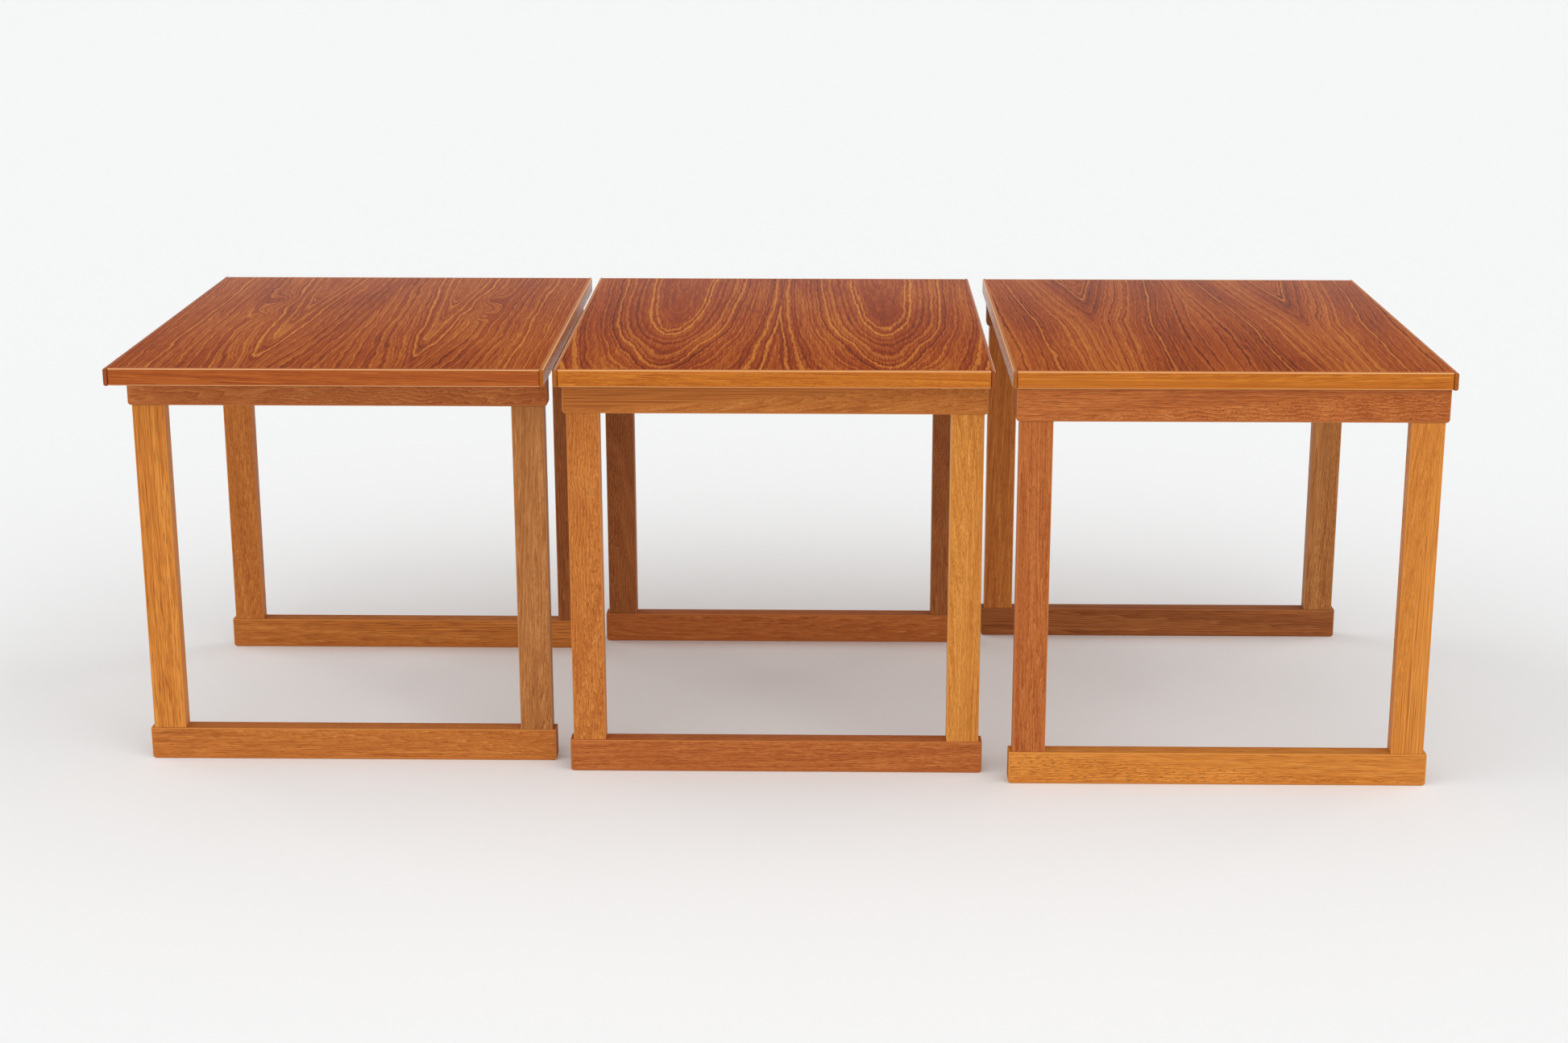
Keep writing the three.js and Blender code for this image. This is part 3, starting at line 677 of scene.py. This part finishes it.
    # thin pale lines along the arches, fading in and out, and few of them inside the crown
    spaced = addNode(tree, "ShaderNodeMath", [level, look["lineSpacing"]], operation="DIVIDE")
    phase = addNode(tree, "ShaderNodeMath", [
        runAlong(*figure["crowding"]), figure["crowdingReach"], spaced], operation="MULTIPLY_ADD")
    saw = addNode(tree, "ShaderNodeMath", [phase], operation="FRACT")
    line = addNode(tree, "ShaderNodeValToRGB", {"Fac": saw})
    setStops(line, figure["lineStops"])
    ridge = addNode(tree, "ShaderNodeMath", [line, figure["lineMiddle"]], operation="SUBTRACT")
    fading = addNode(tree, "ShaderNodeMath", [
        runAlong(*figure["fading"]), figure["fadingReach"], figure["fadingMiddle"]], operation="MULTIPLY_ADD")
    varied = addNode(tree, "ShaderNodeMath", [fading, look["lineStrength"] * figure["lineGain"]],
                     operation="MULTIPLY")
    shown = addNode(tree, "ShaderNodeMapRange", [level, *look["plain"], figure["plainShare"], 1.0])
    drawn = addNode(tree, "ShaderNodeMath", [ridge, varied], operation="MULTIPLY")
    rings = addNode(tree, "ShaderNodeMath", [drawn, shown], operation="MULTIPLY")
    for place, strength in look["accents"]:
        off = addNode(tree, "ShaderNodeMath", [level, -place], operation="ADD")
        square = addNode(tree, "ShaderNodeMath", [off, off], operation="MULTIPLY")
        falls = addNode(tree, "ShaderNodeMath", [square, figure["accentFall"]], operation="MULTIPLY")
        peak = addNode(tree, "ShaderNodeMath", [falls], operation="EXPONENT")
        rings = addNode(tree, "ShaderNodeMath", [peak, strength, rings], operation="MULTIPLY_ADD")

    # darker zones, fine lines between, fibres, streaks and clouds
    hairlines = addNode(tree, "ShaderNodeMath", [runAlong(*figure["fine"]), shown], operation="MULTIPLY")
    fibre = addNode(tree, "ShaderNodeMath", [blotch(*figure["fibre"]), figure["fibreShade"]],
                    operation="MULTIPLY")
    shade = addNode(tree, "ShaderNodeMath", [rings, fibre], operation="ADD")
    for layer, strength in (
            (runAlong(*figure["zones"]), figure["zoneGain"] * look["zoneStrength"]),
            (hairlines, look["fineStrength"]),
            (blotch(*figure["streak"]), figure["streakShade"]),
            (blotch(*figure["cloud"]), figure["cloudShade"])):
        shade = addNode(tree, "ShaderNodeMath", [layer, strength, shade], operation="MULTIPLY_ADD")
    shade = addNode(tree, "ShaderNodeMath", [shade, figure["middleShade"]], operation="ADD")
    wood = addNode(tree, "ShaderNodeValToRGB", {"Fac": shade})
    setStops(wood, ((0.05, linear(look["dark"])), (0.45, linear(look["base"])), (0.95, linear(look["line"]))))
    poreMask = addNode(tree, "ShaderNodeMapRange", [blotch(*figure["pore"]), *figure["poreMask"]])
    pored = addNode(tree, "ShaderNodeMix", {
        "Factor": poreMask, 6: wood, 7: linear(figure["poreColour"])}, data_type="RGBA")
    gloss = addNode(tree, "ShaderNodeMath", [fibre, figure["fibreGloss"], figure["roughness"]],
                    operation="MULTIPLY_ADD")
    ridges = addNode(tree, "ShaderNodeMath", [fibre, figure["fibreHeight"]], operation="MULTIPLY")
    relief = addNode(tree, "ShaderNodeMath", [poreMask, figure["poreDepth"], ridges],
                     operation="MULTIPLY_ADD")
    bump = addNode(tree, "ShaderNodeBump", {
        "Height": relief, "Strength": figure["reliefStrength"], "Distance": figure["relief"] * mm})
    surface = addNode(tree, "ShaderNodeBsdfPrincipled", {
        "Base Color": pored.outputs[2], "Roughness": gloss, "Normal": bump,
        "IOR": 1.5, "Specular IOR Level": 0.03})
    addNode(tree, "ShaderNodeOutputMaterial", [surface])
    return material


speckledStuff = {
    # pressed chips of pale softwood, seen only if a top is cut open; speck in mm
    "core_board": {"name": "rawParticleBoard", "dark": "#a98a5e", "light": "#d8bd90", "speck": 2.5,
                   "roughness": 0.85, "metallic": 0.0},
    # dull passivated zinc on steel, a faint mottled grey
    "steel_screw": {"name": "zincPlatedSteel", "dark": "#8d8b85", "light": "#a9a7a1", "speck": 0.4,
                    "roughness": 0.38, "metallic": 1.0},
}
speckle = {"roughnessDrift": 0.06, "reliefStrength": 0.3, "relief": 0.05}  # relief in mm


def speckledMaterial(look):
    # flat specks, each with its own shade, shine and height
    material = bpy.data.materials.new(look["name"])
    material.use_nodes = True
    tree = material.node_tree
    tree.nodes.clear()
    where = addNode(tree, "ShaderNodeTexCoord").outputs["Object"]
    specks = addNode(tree, "ShaderNodeTexVoronoi", {"Vector": where, "Scale": 1 / (look["speck"] * mm)})
    chance = addNode(tree, "ShaderNodeSeparateColor", [specks.outputs["Color"]]).outputs
    colour = addNode(tree, "ShaderNodeMix", {
        "Factor": chance[0], 6: linear(look["dark"]), 7: linear(look["light"])}, data_type="RGBA")
    rough = addNode(tree, "ShaderNodeMapRange", [
        chance[1], 0.0, 1.0, look["roughness"] - speckle["roughnessDrift"],
        look["roughness"] + speckle["roughnessDrift"]])
    bump = addNode(tree, "ShaderNodeBump", {
        "Height": chance[0], "Strength": speckle["reliefStrength"], "Distance": speckle["relief"] * mm})
    surface = addNode(tree, "ShaderNodeBsdfPrincipled", {
        "Base Color": colour.outputs[2], "Roughness": rough, "Metallic": look["metallic"], "Normal": bump})
    addNode(tree, "ShaderNodeOutputMaterial", [surface])
    return material


finishes = {slotName: teakMaterial(look) for slotName, look in solidTeak.items()}
lippingFinishes = {slotName: teakMaterial(look, True) for slotName, look in lippingTeak.items()}
for slotName, look in speckledStuff.items():
    finishes[slotName] = speckledMaterial(look)
faceFinishes = {table: veneerMaterial(table) for table in tables}
print("materials made")

# the pieces of one table, in mm: lies flat, grain axis, outline corners (low side, high side), arris,
# which sides have the arris (left, right, low, high), distance from the pith
boards = {
    "front_lipping": (True, (1, 0, 0), (2.5, 0.0), 2.0, (1, 1, 1, 0), 140),
    "back_lipping": (True, (1, 0, 0), (0.0, 2.5), 2.0, (1, 1, 0, 1), 140),
    "left_lipping": (True, (0, 1, 0), (0.0, 0.0), 2.0, (1, 0, 0, 0), 140),
    "right_lipping": (True, (0, 1, 0), (0.0, 0.0), 2.0, (0, 1, 0, 0), 140),
    "left_veneer_leaf": (True, (0, 1, 0), (0.0, 0.0), 0.04, (1, 1, 1, 1), 300),
    "right_veneer_leaf": (True, (0, 1, 0), (0.0, 0.0), 0.04, (1, 1, 1, 1), 300),
    "backing_veneer": (True, (0, 1, 0), (0.0, 0.0), 0.04, (1, 1, 1, 1), 220),
    "front_apron": (False, (1, 0, 0), (3.5, 1.0), 1.5, (1, 1, 1, 1), 110),
    "back_apron": (False, (1, 0, 0), (3.5, 1.0), 1.5, (1, 1, 1, 1), 110),
    "front_foot_rail": (False, (1, 0, 0), (3.5, 1.0), 1.5, (1, 1, 1, 1), 90),
    "back_foot_rail": (False, (1, 0, 0), (3.5, 1.0), 1.5, (1, 1, 1, 1), 90),
    "front_left_leg": (False, (0, 0, 1), (0.3, 0.3), 1.5, (1, 1, 0, 0), 100),
    "front_right_leg": (False, (0, 0, 1), (0.3, 0.3), 1.5, (1, 1, 0, 0), 100),
    "back_left_leg": (False, (0, 0, 1), (0.3, 0.3), 1.5, (1, 1, 0, 0), 100),
    "back_right_leg": (False, (0, 0, 1), (0.3, 0.3), 1.5, (1, 1, 0, 0), 100),
}
tenonLength = 15 * mm  # hidden in the rails, so a leg is drawn from shoulder to shoulder
screwCorners = ("front_left", "front_right", "back_left", "back_right")
boardNodes = boardTree()
screwNodes = screwTree()
seed = 0
for table in tables:
    screwNames = [f"{table}_{corner}_screw" for corner in screwCorners]
    seats = [((low.x + high.x) / 2, (low.y + high.y) / 2, low.z + screw["seat"] * mm)
             for low, high in map(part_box, screwNames)]
    screwReach = (seats[1][0] - seats[0][0]) / 2
    for part, (flat, grainAxis, corners, arris, sides, pith) in boards.items():
        seed += 1
        node = f"{table}_{part}"
        low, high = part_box(node)
        if part.endswith("leg"):
            low.z += tenonLength
            high.z -= tenonLength
        if part.endswith("leaf"):
            finish = faceFinishes[table]
        elif part.endswith("lipping"):
            finish = lippingFinishes[slotOf[node]]
        else:
            finish = finishes[slotOf[node]]
        piece = runTree(f"{node}_board", boardNodes, {
            "Low corner": low, "High corner": high, "Lies flat": flat,
            "Grain axis": [float(a) for a in grainAxis],
            "Low side corners": corners[0] * mm, "High side corners": corners[1] * mm,
            "Arris radius": arris * mm,
            "Left arris": float(sides[0]), "Right arris": float(sides[1]),
            "Low arris": float(sides[2]), "High arris": float(sides[3]),
            "Drilled": part.endswith("apron"), "Screw reach": screwReach,
            "Pith distance": float(pith), "Seed": seed, "Finish": finish,
        })
        softenNormals(piece)
        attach(piece, table)
        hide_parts(node)
    print(table, "boards made")
    screws = runTree(f"{table}_screws", screwNodes, {
        "Seed": screw["seed"] + seed, "Finish": finishes["steel_screw"]}, seats)
    softenNormals(screws)
    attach(screws, table)
    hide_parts(*screwNames)
    print(table, "screws driven")

# what the CAD still shows, the tops' core boards, gets its own finish
for node, cadObject in frame["nodes"].items():
    if not cadObject.hide_render:
        cadObject.data.materials.clear()
        cadObject.data.materials.append(finishes[slotOf[node]])
print("cores finished")

stage = {
    "floorRadius": 30.0, "floorSides": 64, "floorGap": 0.05 * mm,
    "floor": "#f2f3f3", "floorRoughness": 0.6,
    # the room's brightness at the sine of each height above the horizon
    "room": ((0.0, 0.93), (0.185, 0.93), (0.222, 0.05), (0.4, 0.08), (0.7, 0.36), (1.0, 0.55)),
}
floorMesh = bpy.data.meshes.new("studioFloor")
bearings = [2 * math.pi * a / stage["floorSides"] for a in range(stage["floorSides"])]
edge = [(stage["floorRadius"] * math.cos(b), stage["floorRadius"] * math.sin(b), 0) for b in bearings]
floorMesh.from_pydata(edge, [], [tuple(range(stage["floorSides"]))])
floor = bpy.data.objects.new("studioFloor", floorMesh)
bpy.context.scene.collection.objects.link(floor)
floor.location.z = cadLow.z - stage["floorGap"]
floorMaterial = bpy.data.materials.new("mattWhitePaperSweep")  # matt card: soft shadows and no shine
floorMaterial.use_nodes = True
paper = floorMaterial.node_tree.nodes["Principled BSDF"].inputs
paper["Base Color"].default_value = linear(stage["floor"])
paper["Roughness"].default_value = stage["floorRoughness"]
paper["Specular IOR Level"].default_value = 0.0
floorMesh.materials.append(floorMaterial)

world = bpy.data.worlds.new("softWhiteRoom")
world.use_nodes = True
bpy.context.scene.world = world
room = world.node_tree
room.nodes.clear()
direction = addNode(room, "ShaderNodeTexCoord").outputs["Generated"]
upward = addNode(room, "ShaderNodeSeparateXYZ", [direction]).outputs[2]
sky = addNode(room, "ShaderNodeValToRGB", {"Fac": upward})
setStops(sky, stage["room"])
glow = addNode(room, "ShaderNodeBackground", {"Color": sky, "Strength": 1.0})
addNode(room, "ShaderNodeOutputWorld", [glow])

front = Vector(((cadLow.x + cadHigh.x) / 2, cadLow.y, cadLow.z))
softboxes = {
    # the direction each shines from, its strength, and how wide it is in degrees
    "overheadSoftbox": ((-0.35, -0.5, 1.3), 0.25, 80.0),
    "frontFill": ((0.1, -1.0, 0.55), 1.08, 80.0),
    "leftFill": ((-1.0, -0.1, 0.45), 1.6, 80.0),
    "rightFill": ((1.0, -0.1, 0.45), 1.63, 80.0),
}
for name, (comesFrom, strength, width) in softboxes.items():
    light = bpy.data.lights.new(name, "SUN")
    light.energy = strength
    light.angle = math.radians(width)
    holder = bpy.data.objects.new(name, light)
    holder.location = front + Vector(comesFrom)
    holder.rotation_euler = (-Vector(comesFrom)).to_track_quat("-Z", "Y").to_euler()
    bpy.context.scene.collection.objects.link(holder)

viewpoint = {
    "at": (0.053, -2.083, 0.992), "pitch": 12.66, "yaw": -0.79,  # metres from the front, degrees
    "lens": 48.7, "sensor": 36.0, "shift": (-0.0114, -0.14), "clipEnd": 200,
}
cameraData = bpy.data.cameras.new("camera")
cameraData.lens = viewpoint["lens"]
cameraData.sensor_width = viewpoint["sensor"]
cameraData.shift_x, cameraData.shift_y = viewpoint["shift"]
cameraData.clip_end = viewpoint["clipEnd"]
camera = bpy.data.objects.new("camera", cameraData)
camera.location = front + Vector(viewpoint["at"])
camera.rotation_euler = (math.radians(90 - viewpoint["pitch"]), 0.0, -math.radians(viewpoint["yaw"]))
bpy.context.scene.collection.objects.link(camera)
bpy.context.scene.camera = camera
bpy.context.scene.view_settings.view_transform = "Standard"
print("stage set")
